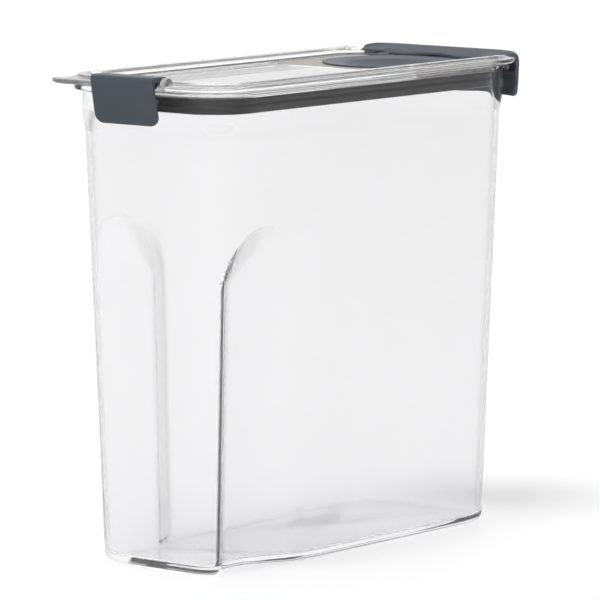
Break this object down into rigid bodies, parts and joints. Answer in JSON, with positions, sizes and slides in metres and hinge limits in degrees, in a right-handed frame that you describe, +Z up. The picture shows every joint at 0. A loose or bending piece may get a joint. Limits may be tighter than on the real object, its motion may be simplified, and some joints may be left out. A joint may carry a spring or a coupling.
{
  "type": "pet food bin",
  "caption": "Tall narrow clear plastic food bin with grip recesses, a gasketed clear lid, slate latches and a flip-up pour flap with a round cap.",
  "frame": {"origin": "centre of the bin's flat underside", "axes": "+X along the bin's length towards the wide pour latch, +Y across it, +Z up"},
  "size_m": [0.2522, 0.113, 0.2355],
  "materials": {
    "clear_bin": "clear, polished",
    "clear_lid": "clear, polished",
    "slate_plastic": "satin moulded",
    "flap_plastic": "satin moulded",
    "seal_rubber": "smooth soft seal",
    "pin_steel": "drawn wire"
  },
  "bodies": {
    "bin": {"bin_body": "clear_bin"},
    "lid": {"lid": "clear_lid", "lid_gasket": "seal_rubber", "front_latch_pin": "pin_steel", "pour_flap_pin": "pin_steel"},
    "front_latch": {"front_latch": "slate_plastic"},
    "pour_flap": {"pour_flap": "flap_plastic", "pour_cap": "slate_plastic", "pour_gasket": "seal_rubber", "pour_latch_pin": "pin_steel"},
    "pour_latch": {"pour_latch": "slate_plastic"}
  },
  "joints": [
    {"name": "lid_lift", "type": "slide", "parent": "bin", "child": "lid", "axis": [0, 0, 1], "range_m": [0, 0.08]},
    {"name": "front_latch_hinge", "type": "hinge", "parent": "lid", "child": "front_latch", "pos_m": [-0.122, 0, 0.2324], "axis": [0, 1, 0], "range_deg": [0, 110]},
    {"name": "pour_flap_hinge", "type": "hinge", "parent": "lid", "child": "pour_flap", "pos_m": [0.0373, 0, 0.2266], "axis": [0, -1, 0], "range_deg": [0, 100]},
    {"name": "pour_latch_hinge", "type": "hinge", "parent": "pour_flap", "child": "pour_latch", "pos_m": [0.1035, 0, 0.2276], "axis": [0, -1, 0], "range_deg": [0, 90]}
  ]
}
